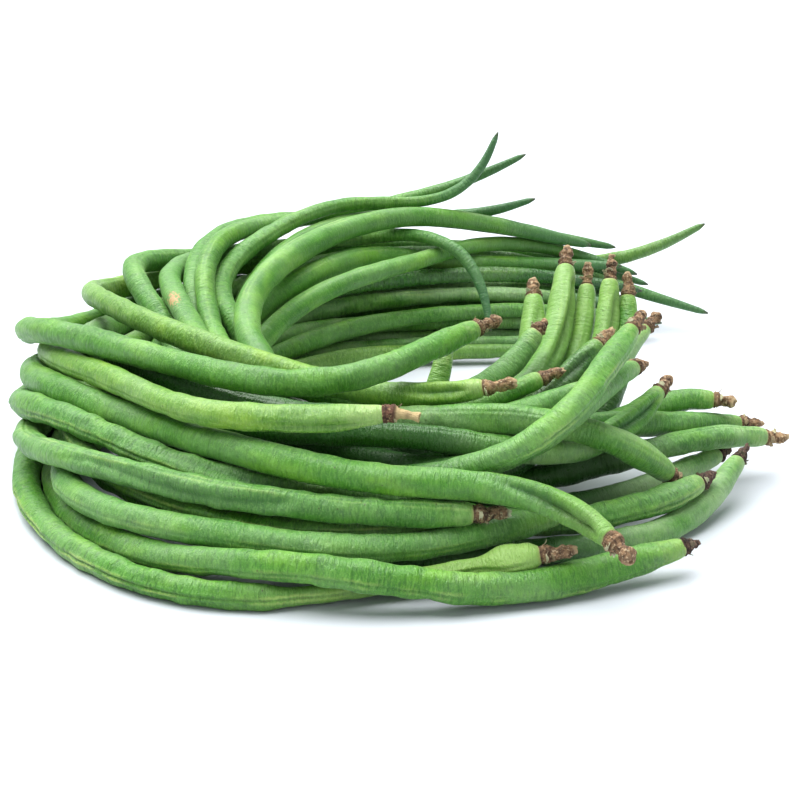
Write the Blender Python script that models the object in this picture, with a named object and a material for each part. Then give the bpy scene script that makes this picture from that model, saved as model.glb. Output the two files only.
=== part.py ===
"""Yardlong bean bunch: thirty long pods bent into an open ring and lying on a table.

Metres, +Z up, origin in the middle of the base. The stem ends point to +X along the
front (-Y), the pods turn round at -X and their thin tips point to +X along the back.
"""

import math

import bmesh
import bpy
import numpy as np
from mathutils import Matrix, Vector

MM = 0.001

# Sizes of one pod and its stalk, in millimetres
POD_RADIUS = 4.3
NECK_SHARE = 0.72
NECK_RUN = 0.035
TAPER_START = 0.6
TAPER_SHARE = 0.55
POINT_START = 0.94
TIP_SHARE = 0.2
STALK_OUTLINE = [(0.0, 2.7), (0.16, 3.0), (0.34, 1.9), (0.58, 2.2), (0.8, 1.6), (1.0, 1.9)]
TOUCH_GAP = 0.35
REST_DEPTH = 0.25

# Mesh fineness: rings along a pod, sides round a pod and round a stalk
POD_RINGS = 30
EVEN_SPACING = 0.75
POD_SIDES = 8
STALK_SIDES = 6

# Smoothing of the drawn courses
CURVE_STEPS = 12
ROUNDING_PASSES = 2

# Settling of the pile: steps held to the drawn course, loose steps and steps that only part the pods,
# then the pull back to the drawn course, the sag a step in millimetres and the pods' stiffness
DRAWN_STEPS = 420
LOOSE_STEPS = 60
PARTING_STEPS = 400
PULL = 0.05
PULL_FADE = 0.7
SAG = 0.004
STIFFNESS = 0.45
PUSH = 0.45
REACH = 36.0
LOOK_AGAIN = 10
CROWDING_LIMIT = 0.03

# Shades of green (linear) that the pods take in turn, and the brown of the stalks
POD_GREENS = [(0.10, 0.26, 0.07), (0.17, 0.36, 0.08), (0.07, 0.20, 0.06), (0.13, 0.30, 0.10)]
STALK_BROWN = (0.22, 0.12, 0.06)
POD_ROUGHNESS = 0.45
STALK_ROUGHNESS = 0.85

# Each pod: thickness share, shade, stalk length, and the turning points (x, y, z) of its middle line
# in millimetres, from the stem end along the front, round the bend and along the back to the tip
COURSES = [
    # Pods on top and on the outer face of the front, which stay on the outer side of the bend
    (1.00, 0, 7, [(26, -71, 54), (12, -81, 52), (-6, -102, 51), (-24, -115, 51), (-48, -107, 50),
                  (-75, -86, 48), (-103, -64, 46), (-124, -47, 43), (-131, -34, 38), (-124, -14, 28),
                  (-112, 12, 19), (-90, 44, 16), (-50, 74, 19), (-5, 88, 20), (40, 92, 18),
                  (85, 88, 10)]),
    (0.95, 1, 9, [(27, -98, 43), (15, -98, 41), (0, -96, 38), (-30, -82, 41), (-60, -63, 44),
                  (-79, -48, 45), (-94, -31, 45), (-106, -12, 44), (-114, 4, 42), (-109, 20, 34),
                  (-97, 38, 31), (-84, 54, 30), (-48, 76, 27), (0, 86, 26), (50, 88, 22), (90, 90, 22),
                  (110, 92, 29), (121, 93, 38)]),
    (1.00, 1, 11, [(-4, -129, 48), (-32, -127, 45), (-56, -122, 44), (-76, -103, 42), (-99, -74, 40),
                   (-117, -48, 38), (-121, -30, 32), (-112, -8, 23), (-102, 14, 15), (-86, 42, 11),
                   (-54, 70, 11), (-10, 87, 12), (40, 88, 12), (85, 82, 8)]),
    (1.05, 2, 7, [(86, -103, 14), (80, -108, 20), (73, -109, 26), (62, -110, 30), (48, -108, 33),
                  (30, -104, 33), (6, -102, 33), (-20, -105, 35), (-44, -103, 38), (-69, -88, 39),
                  (-94, -60, 36), (-108, -34, 30), (-104, -4, 23), (-90, 26, 19), (-60, 56, 18),
                  (-10, 72, 19), (40, 78, 18), (90, 74, 10)]),
    (0.98, 1, 8, [(72, -88, 60), (68, -96, 58), (61, -110, 56), (54, -126, 51), (47, -136, 45),
                  (36, -138, 40), (26, -137, 34), (15, -132, 27), (2, -125, 22), (-14, -120, 21),
                  (-38, -115, 24), (-66, -98, 28), (-92, -68, 29), (-106, -40, 25), (-108, -8, 18),
                  (-96, 28, 12), (-64, 60, 12), (-12, 78, 12), (40, 82, 12), (95, 70, 6)]),
    (1.05, 0, 8, [(61, -164, 23), (57, -157, 25), (50, -147, 26), (40, -141, 27), (26, -140, 28),
                  (10, -140, 28), (-6, -141, 29), (-22, -139, 31), (-44, -129, 34), (-71, -106, 34),
                  (-99, -80, 34), (-124, -58, 32), (-127, -36, 24), (-121, -8, 14), (-104, 30, 9),
                  (-68, 70, 10), (-15, 96, 12), (40, 98, 12), (90, 90, 8)]),
    (1.00, 3, 8, [(95, -100, 14), (90, -107, 13), (83, -112, 12), (68, -118, 11), (48, -127, 10),
                  (20, -127, 14), (-20, -129, 24), (-47, -132, 28), (-70, -119, 28), (-97, -95, 28),
                  (-126, -72, 26), (-127, -46, 15), (-121, -8, 6), (-102, 36, 5), (-66, 76, 5),
                  (-15, 98, 5), (40, 102, 5), (90, 94, 5)]),
    (1.00, 3, 10, [(23, -141, 22), (10, -142, 22), (-23, -143, 24), (-47, -138, 24), (-72, -127, 24),
                   (-98, -108, 23), (-123, -83, 21), (-118, -44, 12), (-110, -6, 11), (-94, 32, 6),
                   (-62, 66, 5), (-15, 80, 5), (40, 84, 5), (95, 74, 5)]),
    (0.92, 2, 6, [(24, -132, 17), (6, -139, 17), (-18, -144, 18), (-41, -142, 18), (-66, -132, 18),
                  (-90, -110, 15), (-108, -84, 13), (-107, -46, 12), (-102, -10, 11), (-86, 24, 6),
                  (-50, 50, 5), (-5, 62, 5), (40, 66, 5), (90, 62, 5)]),
    (1.00, 3, 7, [(49, -129, 16), (29, -137, 15), (6, -149, 13), (-17, -153, 12), (-44, -151, 12),
                  (-68, -143, 12), (-94, -123, 12), (-110, -94, 12), (-102, -55, 6), (-96, -18, 5),
                  (-84, 16, 8), (-58, 46, 12), (-12, 68, 12), (40, 74, 12), (88, 72, 10)]),
    (0.98, 1, 8, [(44, -152, 14), (30, -151, 12), (15, -150, 9), (-6, -152, 5), (-24, -159, 4),
                  (-43, -162, 4), (-69, -155, 4), (-91, -137, 4), (-111, -106, 4), (-123, -62, 4),
                  (-119, -16, 4), (-106, 26, 4), (-74, 64, 4), (-25, 88, 4), (30, 91, 4), (85, 80, 4)]),
    (1.05, 0, 4, [(88, -137, 10), (64, -146, 7), (40, -158, 5), (14, -162, 6), (-14, -162, 10),
                  (-43, -154, 10), (-73, -143, 10), (-97, -120, 9), (-107, -104, 8), (-114, -78, 6),
                  (-112, -40, 5), (-104, -4, 5), (-84, 30, 5), (-50, 56, 5), (-5, 71, 5), (70, 66, 5)]),
    (0.98, 2, 4, [(80, -70, 33), (73, -77, 34), (66, -88, 33), (58, -102, 31), (20, -119, 33),
                  (-20, -121, 36), (-52, -110, 35), (-78, -88, 33), (-98, -60, 31), (-102, -32, 27),
                  (-98, 0, 22), (-84, 28, 19), (-54, 50, 18), (-10, 64, 20), (40, 70, 20),
                  (90, 70, 12)]),
    # Pods of the front's foot and inner side, which meet at the bend and fan over the back's top
    (0.95, 2, 8, [(108, -80, 13), (104, -87, 10), (89, -112, 5), (73, -124, 5), (60, -129, 5),
                  (20, -135, 5), (-10, -137, 5), (-45, -124, 5), (-75, -98, 5), (-90, -62, 5),
                  (-90, -30, 5), (-85, 4, 5), (-63, 32, 5), (-30, 48, 5), (0, 53, 5), (45, 56, 5),
                  (85, 58, 5)]),
    (0.92, 3, 6, [(106, -69, 12), (98, -75, 11), (87, -86, 10), (75, -97, 9), (58, -106, 9),
                  (40, -111, 8), (20, -108, 6), (-10, -101, 5), (-40, -90, 5), (-66, -66, 5),
                  (-81, -34, 5), (-79, 0, 5), (-58, 26, 5), (-29, 40, 5), (0, 44, 5), (45, 46, 5),
                  (80, 48, 5)]),
    (1.00, 1, 5, [(122, -66, 12), (115, -67, 13), (107, -70, 15), (94, -76, 17), (80, -85, 18),
                  (62, -93, 18), (48, -97, 16), (20, -104, 12), (-10, -108, 12), (-42, -100, 12),
                  (-70, -74, 12), (-86, -32, 12), (-82, 2, 13), (-61, 32, 16), (-28, 50, 19),
                  (0, 56, 20), (45, 62, 20), (90, 68, 12)]),
    (0.95, 3, 5, [(118, -55, 17), (112, -57, 18), (102, -60, 20), (91, -67, 22), (76, -82, 23),
                  (45, -95, 22), (15, -100, 20), (-12, -101, 20), (-40, -86, 19), (-58, -62, 19),
                  (-68, -38, 20), (-74, -18, 25), (-81, -5, 32), (-92, 9, 38), (-102, 22, 42),
                  (-109, 31, 43), (-103, 40, 38), (-90, 50, 33), (-72, 60, 31), (-50, 69, 31),
                  (-12, 80, 33), (30, 86, 31), (75, 86, 24), (98, 84, 16)]),
    (0.95, 0, 4, [(109, -62, 21), (102, -59, 23), (91, -64, 25), (77, -77, 26), (45, -88, 25),
                  (15, -91, 21), (-12, -91, 20), (-38, -78, 20), (-63, -52, 20), (-83, -26, 20),
                  (-80, 4, 27), (-57, 36, 32), (-28, 60, 34), (5, 74, 34), (50, 80, 30), (92, 78, 16),
                  (122, 70, 8)]),
    (0.98, 3, 7, [(78, -75, 42), (70, -87, 41), (61, -99, 39), (49, -115, 33), (20, -114, 25),
                  (-12, -106, 25), (-38, -88, 26), (-54, -58, 27), (-60, -36, 30), (-67, -20, 34),
                  (-74, -6, 38), (-79, 8, 40), (-82, 24, 42), (-84, 36, 44), (-77, 46, 45),
                  (-62, 58, 45), (-32, 72, 44), (-8, 73, 44), (10, 70, 44), (22, 61, 42), (29, 53, 35),
                  (33, 47, 26), (33, 43, 16), (31, 41, 9)]),
    (0.92, 3, 5, [(61, -78, 37), (51, -83, 35), (33, -89, 32), (10, -95, 28), (-12, -95, 27),
                  (-36, -78, 26), (-52, -50, 24), (-60, -28, 23), (-67, -10, 27), (-73, 4, 34),
                  (-76, 18, 41), (-76, 32, 45), (-67, 48, 46), (-46, 66, 45), (-20, 78, 43),
                  (10, 85, 41), (34, 84, 41), (46, 80, 45), (54, 77, 51)]),
    (0.90, 0, 8, [(44, -79, 38), (38, -82, 37), (31, -87, 34), (10, -88, 30), (-12, -86, 28),
                  (-37, -72, 25), (-53, -48, 24), (-62, -26, 26), (-67, -4, 29), (-70, 12, 35),
                  (-69, 26, 40), (-64, 42, 43), (-52, 57, 44), (-28, 70, 46), (8, 77, 53), (34, 80, 61),
                  (49, 80, 70)]),
    (0.95, 3, 8, [(43, -62, 48), (39, -66, 44), (32, -69, 38), (25, -78, 34), (5, -80, 28),
                  (-12, -78, 25), (-32, -62, 22), (-48, -40, 17), (-58, -20, 15), (-67, -2, 18),
                  (-71, 14, 25), (-68, 28, 37), (-61, 42, 44), (-46, 56, 47), (-24, 68, 48),
                  (0, 72, 47), (18, 75, 48), (26, 76, 54), (32, 78, 63), (34, 79, 76)]),
    (0.92, 2, 5, [(66, -60, 46), (62, -64, 44), (56, -70, 40), (50, -76, 36), (30, -84, 24),
                  (8, -87, 14), (-12, -88, 12), (-38, -72, 12), (-61, -50, 12), (-72, -28, 12),
                  (-73, 2, 18), (-54, 32, 23), (-26, 50, 26), (0, 58, 27), (50, 68, 26), (95, 74, 16)]),
    (0.92, 0, 6, [(82, -46, 46), (78, -52, 44), (72, -62, 38), (60, -80, 28), (40, -100, 18),
                  (15, -112, 12), (-12, -117, 12), (-45, -104, 12), (-72, -74, 12), (-78, -34, 12),
                  (-76, 0, 12), (-56, 26, 12), (-29, 44, 12), (0, 51, 12), (50, 56, 12), (92, 58, 8)]),
    (1.10, 3, 8, [(56, -22, 58), (55, -32, 52), (53, -44, 44), (51, -57, 34), (40, -70, 26),
                  (20, -76, 20), (-10, -77, 19), (-34, -66, 20), (-50, -46, 23), (-58, -25, 27),
                  (-56, -6, 35), (-47, 12, 41), (-34, 32, 44), (-18, 52, 45), (10, 70, 44),
                  (45, 79, 38), (75, 86, 32)]),
    (1.10, 0, 5, [(45, -28, 50), (44, -36, 44), (43, -44, 36), (34, -60, 24), (15, -68, 17),
                  (-8, -70, 16), (-30, -58, 18), (-48, -40, 20), (-62, -20, 21), (-62, -4, 28),
                  (-53, 8, 36), (-39, 20, 41), (-20, 42, 43), (2, 62, 41), (45, 76, 32), (85, 82, 22)]),
    (0.85, 1, 6, [(64, -26, 54), (64, -33, 46), (62, -44, 38), (52, -62, 26), (30, -76, 14),
                  (8, -78, 12), (-12, -76, 12), (-34, -60, 13), (-53, -36, 13), (-64, -14, 14),
                  (-70, 8, 19), (-67, 24, 30), (-55, 38, 40), (-38, 54, 45), (-18, 70, 46),
                  (16, 78, 44), (50, 82, 38), (84, 88, 30)]),
    (0.90, 1, 8, [(71, -27, 56), (70, -33, 48), (68, -44, 38), (58, -64, 24), (35, -78, 8), (8, -81, 7),
                  (-15, -80, 8), (-36, -64, 10), (-52, -40, 12), (-62, -18, 14), (-59, 0, 22),
                  (-45, 10, 32), (-27, 22, 38), (-4, 40, 40), (18, 68, 38), (46, 84, 34),
                  (90, 84, 18)]),
    (0.88, 1, 6, [(76, -28, 52), (76, -34, 44), (74, -46, 36), (64, -70, 18), (40, -88, 6),
                  (10, -92, 5), (-15, -92, 5), (-42, -80, 5), (-67, -54, 5), (-74, -26, 5), (-70, 4, 6),
                  (-50, 26, 9), (-22, 42, 13), (15, 50, 13), (60, 58, 12), (100, 62, 6)]),
    (0.90, 1, 5, [(15, -62, 44), (15, -66, 40), (13, -72, 32), (4, -76, 18), (-8, -74, 6),
                  (-28, -62, 5), (-50, -42, 5), (-62, -24, 5), (-61, -4, 5), (-51, 12, 5), (-32, 26, 5),
                  (-8, 34, 5), (25, 36, 5), (65, 40, 5)]),
]


def smooth_step(low, high, value):
    """Rise from 0 at low to 1 at high with level ends."""
    share = np.clip((value - low) / (high - low), 0.0, 1.0)
    return share * share * (3.0 - 2.0 * share)


def pod_outline(share):
    """Radius of a pod in millimetres at shares 0 (stem end) to 1 (tip) of its length."""
    neck = NECK_SHARE + (1.0 - NECK_SHARE) * smooth_step(0.0, NECK_RUN, share)
    taper = 1.0 - (1.0 - TAPER_SHARE) * smooth_step(TAPER_START, 1.0, share)
    point = 1.0 - (1.0 - TIP_SHARE / TAPER_SHARE) * smooth_step(POINT_START, 1.0, share)
    return POD_RADIUS * neck * taper * point


def ring_shares():
    """Shares of a pod's length at its rings, a little closer together near the stem."""
    even = np.linspace(0.0, 1.0, POD_RINGS)
    return EVEN_SPACING * even + (1.0 - EVEN_SPACING) * even ** 2


def smooth_course(turning_points):
    """Dense points on the Catmull-Rom curve through the turning points."""
    points = [Vector(point) for point in turning_points]
    points = [2 * points[0] - points[1]] + points + [2 * points[-1] - points[-2]]
    dense = []
    for before, start, end, after in zip(points, points[1:], points[2:], points[3:]):
        for step in range(CURVE_STEPS):
            t = step / CURVE_STEPS
            dense.append(0.5 * (2 * start + (end - before) * t
                                + (2 * before - 5 * start + 4 * end - after) * t ** 2
                                + (3 * start - before - 3 * end + after) * t ** 3))
    dense.append(points[-2])
    return dense


def spaced_course(turning_points, stalk_length):
    """Middle line of a pod: its stalk's end, then one point for each ring."""
    dense = smooth_course(turning_points)
    lengths = [0.0]
    for start, end in zip(dense, dense[1:]):
        lengths.append(lengths[-1] + (end - start).length)
    stalk_end = dense[0] + (dense[0] - dense[3]).normalized() * stalk_length
    course = [stalk_end]
    place = 0
    for share in ring_shares():
        wanted = lengths[-1] * float(share)
        while place < len(lengths) - 2 and lengths[place + 1] < wanted:
            place += 1
        run = (wanted - lengths[place]) / (lengths[place + 1] - lengths[place])
        course.append(dense[place].lerp(dense[place + 1], min(run, 1.0)))
    for rounding in range(ROUNDING_PASSES):
        inner = [(before + 2 * point + after) / 4
                 for before, point, after in zip(course, course[1:], course[2:])]
        course = course[:1] + inner + course[-1:]
    return course


def dot(first, second):
    """Products of matching vectors, written out so that every machine rounds them alike."""
    return (first[:, 0] * second[:, 0] + first[:, 1] * second[:, 1]) + first[:, 2] * second[:, 2]


def lengths_of(vectors):
    """Lengths of an array of vectors, never zero."""
    return np.sqrt(dot(vectors, vectors)) + 1e-9


class Pile:
    """The pods' middle lines as chains of points that keep their length and touch but never cross."""

    def __init__(self, courses, radii):
        self.count = len(courses)
        self.size = len(courses[0])
        self.drawn = np.array([[tuple(point) for point in course] for course in courses])
        self.points = self.drawn.copy()
        self.radii = np.array(radii)
        self.rest = lengths_of((self.drawn[:, 1:] - self.drawn[:, :-1]).reshape(-1, 3))
        starts = np.arange(self.count * self.size).reshape(self.count, self.size)[:, :-1]
        self.starts = starts.reshape(-1)
        self.pairs = None

    def find_neighbours(self):
        """List the pairs of links that are near enough to touch soon."""
        flat = self.points.reshape(-1, 3)
        middles = (flat[self.starts] + flat[self.starts + 1]) / 2
        first, second = np.triu_indices(len(middles), 3)
        near = lengths_of(middles[first] - middles[second]) < REACH
        first, second = first[near], second[near]
        self.pairs = (self.starts[first], self.starts[second])

    def closest(self):
        """Closest places on each pair of links: shares along both, and the vector between."""
        flat = self.points.reshape(-1, 3)
        first, second = self.pairs
        run_1 = flat[first + 1] - flat[first]
        run_2 = flat[second + 1] - flat[second]
        between = flat[first] - flat[second]
        a, e = dot(run_1, run_1), dot(run_2, run_2)
        b, c, f = dot(run_1, run_2), dot(run_1, between), dot(run_2, between)
        slant = np.maximum(a * e - b * b, 1e-9)
        s = np.clip((b * f - c * e) / slant, 0.0, 1.0)
        t = (b * s + f) / e
        t_held = np.clip(t, 0.0, 1.0)
        s = np.where(t == t_held, s, np.clip((b * t_held - c) / a, 0.0, 1.0))
        gap = between + run_1 * s[:, None] - run_2 * t_held[:, None]
        return s, t_held, gap

    def crowding(self):
        """How much nearer each pair of links is than it may be, with the closest places."""
        radii = self.radii.reshape(-1)
        first, second = self.pairs
        s, t, gap = self.closest()
        room = radii[first] * (1 - s) + radii[first + 1] * s + TOUCH_GAP
        room = room + radii[second] * (1 - t) + radii[second + 1] * t
        distance = lengths_of(gap)
        return room - distance, s, t, gap / distance[:, None]

    def push_apart(self):
        crowded, s, t, away = self.crowding()
        hit = crowded > 0
        first, second = self.pairs[0][hit], self.pairs[1][hit]
        crowded, s, t, away = crowded[hit], s[hit], t[hit], away[hit]
        flat = self.points.reshape(-1, 3)
        spread = (1 - s) ** 2 + s ** 2 + (1 - t) ** 2 + t ** 2
        push = away * (crowded / spread * PUSH)[:, None]
        move = np.zeros_like(flat)
        for index, weight in ((first, 1 - s), (first + 1, s), (second, t - 1), (second + 1, -t)):
            for axis in range(3):
                move[:, axis] += np.bincount(index, push[:, axis] * weight, len(flat))
        self.points = (flat + move).reshape(self.points.shape)

    def keep_lengths(self):
        for parity in (0, 1):
            run = self.points[:, 1:] - self.points[:, :-1]
            length = lengths_of(run.reshape(-1, 3)).reshape(self.count, -1)
            stretch = (length - self.rest.reshape(self.count, -1)) / length / 2
            stretch[:, 1 - parity::2] = 0
            fix = run * stretch[:, :, None]
            self.points[:, :-1] += fix
            self.points[:, 1:] -= fix

    def keep_bends(self):
        drawn_bend = self.drawn[:, :-2] - 2 * self.drawn[:, 1:-1] + self.drawn[:, 2:]
        bend = self.points[:, :-2] - 2 * self.points[:, 1:-1] + self.points[:, 2:]
        fix = (bend - drawn_bend) * (STIFFNESS / 6)
        self.points[:, 1:-1] += 2 * fix
        self.points[:, :-2] -= fix
        self.points[:, 2:] -= fix

    def keep_off_floor(self):
        floor = self.radii * math.cos(math.pi / POD_SIDES) - REST_DEPTH
        self.points[:, :, 2] = np.maximum(self.points[:, :, 2], floor)
        self.points = np.round(self.points, 9)

    def settle(self):
        """Let the pods sag on to one another near their drawn courses, then part any that cross."""
        for step in range(DRAWN_STEPS + LOOSE_STEPS):
            if step % LOOK_AGAIN == 0:
                self.find_neighbours()
            if step < DRAWN_STEPS:
                fade = 1 - PULL_FADE * step / DRAWN_STEPS
                self.points += (self.drawn - self.points) * (PULL * fade)
            self.points[:, 1:, 2] -= SAG
            self.keep_bends()
            self.keep_lengths()
            self.push_apart()
            self.push_apart()
            self.keep_off_floor()
        for step in range(PARTING_STEPS):
            if step % LOOK_AGAIN == 0:
                self.find_neighbours()
                if self.crowding()[0].max() < CROWDING_LIMIT:
                    break
            self.push_apart()
            self.keep_off_floor()
        print("steps apart", step, "worst crowding", round(float(self.crowding()[0].max()), 3), "mm")


def make_material(name, colour, roughness):
    material = bpy.data.materials.new(name)
    material.use_nodes = True
    shader = material.node_tree.nodes["Principled BSDF"]
    shader.inputs["Base Color"].default_value = (*colour, 1.0)
    shader.inputs["Roughness"].default_value = roughness
    material.diffuse_color = (*colour, 1.0)
    return material


def make_tube(name, points, radii, sides, material, collection):
    """One closed tube through the points, with flat ends and a flat below where it rests."""
    curve = bpy.data.curves.new(name + "_line", "CURVE")
    curve.dimensions = "3D"
    curve.twist_mode = "Z_UP"
    curve.bevel_depth = MM
    curve.bevel_resolution = (sides - 4) // 2
    curve.resolution_u = 1
    curve.use_fill_caps = True
    spline = curve.splines.new("POLY")
    spline.points.add(len(points) - 1)
    for spot, point, radius in zip(spline.points, points, radii):
        spot.co = (*(Vector(point) * MM), 1.0)
        spot.radius = radius
        spot.tilt = math.pi / sides
    line = bpy.data.objects.new(name + "_line", curve)
    collection.objects.link(line)
    bpy.context.view_layer.update()
    mesh = bpy.data.meshes.new_from_object(line.evaluated_get(bpy.context.evaluated_depsgraph_get()))
    bpy.data.objects.remove(line)

    shape = bmesh.new()
    shape.from_mesh(mesh)
    bmesh.ops.remove_doubles(shape, verts=shape.verts, dist=0.01 * MM)
    for vertex in shape.verts:
        vertex.co.z = max(vertex.co.z, 0.0)
    bmesh.ops.recalc_face_normals(shape, faces=shape.faces)
    shape.to_mesh(mesh)
    shape.free()
    mesh.name = name
    mesh.materials.clear()
    mesh.materials.append(material)
    mesh.shade_smooth()
    mesh.set_sharp_from_angle(angle=math.radians(50))
    tube = bpy.data.objects.new(name, mesh)
    collection.objects.link(tube)
    return tube


def make_stalk(name, middle_line, thickness, material, collection):
    """The knobbly stub on a pod's stem end: its collar faces the pod and it bends to its broken end."""
    stalk_end, pod_end, next_ring = [Vector(point) for point in middle_line[:3]]
    length = (stalk_end - pod_end).length
    straight = (pod_end - next_ring).normalized()
    aimed = (stalk_end - pod_end).normalized()
    points = []
    for share, radius in STALK_OUTLINE:
        reach = TOUCH_GAP + (length - TOUCH_GAP) * share
        points.append(pod_end + straight.lerp(aimed, share) * reach)
    radii = [radius * thickness for share, radius in STALK_OUTLINE]
    return make_tube(name, points, radii, STALK_SIDES, material, collection)


def centre_on_base(objects):
    """Put the origin in the middle of the base of the whole bunch."""
    corners = [vertex.co for piece in objects for vertex in piece.data.vertices]
    middle_x = (min(corner.x for corner in corners) + max(corner.x for corner in corners)) / 2
    middle_y = (min(corner.y for corner in corners) + max(corner.y for corner in corners)) / 2
    lowest = min(corner.z for corner in corners)
    for piece in objects:
        piece.data.transform(Matrix.Translation((-middle_x, -middle_y, -lowest)))
        piece.data.update()
    shift = [round(-value / MM, 2) for value in (middle_x, middle_y, lowest)]
    print("shift of the courses, mm:", *shift)


def main():
    for leftover in list(bpy.data.objects):
        bpy.data.objects.remove(leftover)
    bunch = bpy.data.collections.new("yardlong_bean_bunch")
    bpy.context.scene.collection.children.link(bunch)
    greens = [make_material("pod_green_%d" % shade, colour, POD_ROUGHNESS)
              for shade, colour in enumerate(POD_GREENS, start=1)]
    brown = make_material("stalk_brown", STALK_BROWN, STALK_ROUGHNESS)

    outline = pod_outline(ring_shares())
    radii = [[STALK_OUTLINE[0][1] * course[0]] + list(outline * course[0]) for course in COURSES]
    pile = Pile([spaced_course(course[3], course[2]) for course in COURSES], radii)
    pile.settle()

    pieces = []
    for number, (thickness, shade, stalk_length, turning_points) in enumerate(COURSES, start=1):
        middle_line = pile.points[number - 1]
        pod_radii = radii[number - 1][1:]
        pieces.append(make_tube("pod_%02d" % number, middle_line[1:], pod_radii, POD_SIDES,
                                greens[shade], bunch))
        pieces.append(make_stalk("stalk_%02d" % number, middle_line, thickness, brown, bunch))
    centre_on_base(pieces)


main()
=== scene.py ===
import math

import bpy
import numpy as np
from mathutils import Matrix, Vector


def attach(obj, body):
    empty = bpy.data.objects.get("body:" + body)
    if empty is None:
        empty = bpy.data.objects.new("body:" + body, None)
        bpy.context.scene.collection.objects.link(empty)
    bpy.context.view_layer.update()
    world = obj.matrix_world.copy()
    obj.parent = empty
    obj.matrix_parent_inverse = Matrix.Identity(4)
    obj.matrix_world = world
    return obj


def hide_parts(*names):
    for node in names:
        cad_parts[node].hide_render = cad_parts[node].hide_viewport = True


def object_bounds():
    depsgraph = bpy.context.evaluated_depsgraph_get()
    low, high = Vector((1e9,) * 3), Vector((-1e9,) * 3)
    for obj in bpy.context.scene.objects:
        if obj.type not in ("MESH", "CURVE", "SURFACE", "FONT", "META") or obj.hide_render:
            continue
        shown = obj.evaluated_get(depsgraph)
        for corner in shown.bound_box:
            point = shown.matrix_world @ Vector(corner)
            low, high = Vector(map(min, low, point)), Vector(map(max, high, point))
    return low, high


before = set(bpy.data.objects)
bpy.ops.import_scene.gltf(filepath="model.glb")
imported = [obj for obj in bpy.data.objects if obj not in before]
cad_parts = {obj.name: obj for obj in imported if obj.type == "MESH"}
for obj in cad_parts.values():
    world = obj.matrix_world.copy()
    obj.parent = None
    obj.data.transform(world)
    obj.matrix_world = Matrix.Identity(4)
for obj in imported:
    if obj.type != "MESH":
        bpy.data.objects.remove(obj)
lowCorner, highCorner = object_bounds()
mm = 0.001
fullTurn = 2 * math.pi
floorGap = 0.02 * mm  # nothing of the bunch comes closer to the table than this
weldDigits = 7        # corners of the frame that agree to this many digits of a metre are one
print("frame loaded:", len(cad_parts), "nodes")


def paint(red, green, blue):  # a colour picked on screen, 0 to 255, as the shader wants it
    channels = []
    for value in (red, green, blue):
        value = value / 255
        channels.append(value / 12.92 if value <= 0.04045 else ((value + 0.055) / 1.055) ** 2.4)
    return (*channels, 1.0)


def painted(colours):  # a dictionary's screen colours for the shader, its plain numbers as they are
    return {key: paint(*value) if isinstance(value, tuple) else value
            for key, value in colours.items()}


def rise(low, high, value):  # 0 below low, 1 above high, soft in between
    share = np.clip((value - low) / (high - low), 0.0, 1.0)
    return share * share * (3.0 - 2.0 * share)


def hill(value, width):  # 1 at zero, fading out over the width on both sides
    return np.exp(-(value / width) ** 2)


def turnBetween(angle, other):  # smallest turn from one angle to another, in radians
    return np.abs((angle - other + math.pi) % fullTurn - math.pi)


def lumps(seed, along, angle, alongStep, aroundCount):
    # soft random hills between -1 and 1 on an unrolled skin that closes on itself round the piece
    draw = np.random.RandomState(seed)
    u = (along - along.min()) / alongStep
    grid = draw.uniform(-1, 1, (int(u.max()) + 3, aroundCount))
    v = (angle / fullTurn % 1.0) * aroundCount
    row, column = np.floor(u).astype(int), np.floor(v).astype(int)
    u, v = u - row, v - column
    u, v = u * u * (3 - 2 * u), v * v * (3 - 2 * v)
    left, right = column % aroundCount, (column + 1) % aroundCount
    near = grid[row, left] * (1 - v) + grid[row, right] * v
    far = grid[row + 1, left] * (1 - v) + grid[row + 1, right] * v
    return near * (1 - u) + far * u


def bumps(layer, number, along, angle, strength=1.0):
    # the lumps of one layer: their height, seed, mm from one to the next and count round the piece
    height, seed, alongStep, aroundCount = layer
    return height * strength * lumps(number + seed, along, angle, alongStep, aroundCount)


def keepAboveFloor(grid):
    grid[:, :, 2] = np.maximum(grid[:, :, 2], floorGap)


def weldedPlaces(node):  # where a frame node's corners are, each once, and which share an edge
    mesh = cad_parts[node].data
    places = np.zeros(len(mesh.vertices) * 3)
    mesh.vertices.foreach_get("co", places)
    places = np.round(places.reshape(-1, 3), weldDigits)
    places, index = np.unique(places, axis=0, return_inverse=True)
    index = index.reshape(-1)
    touching = [set() for place in places]
    for edge in mesh.edges:
        first, second = index[edge.vertices[0]], index[edge.vertices[1]]
        if first != second:
            touching[first].add(second)
            touching[second].add(first)
    return places, touching


def podRings(node, stalkNode):  # centre and radius of each ring of a frame pod, stem end first
    places, touching = weldedPlaces(node)
    stalkMiddle = weldedPlaces(stalkNode)[0].mean(axis=0)
    ring = list(np.argsort(((places - stalkMiddle) ** 2).sum(axis=1))[:podShape["frameSides"]])
    seen = set(ring)
    centres, radii = [], []
    while ring:
        corners = places[ring]
        centres.append(corners.mean(axis=0))
        radii.append(np.sqrt(((corners - corners.mean(axis=0)) ** 2).sum(axis=1)).max())
        following = set().union(*(touching[corner] for corner in ring)) - seen
        seen |= following
        ring = sorted(following)
    return np.array(centres), np.array(radii)


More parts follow.
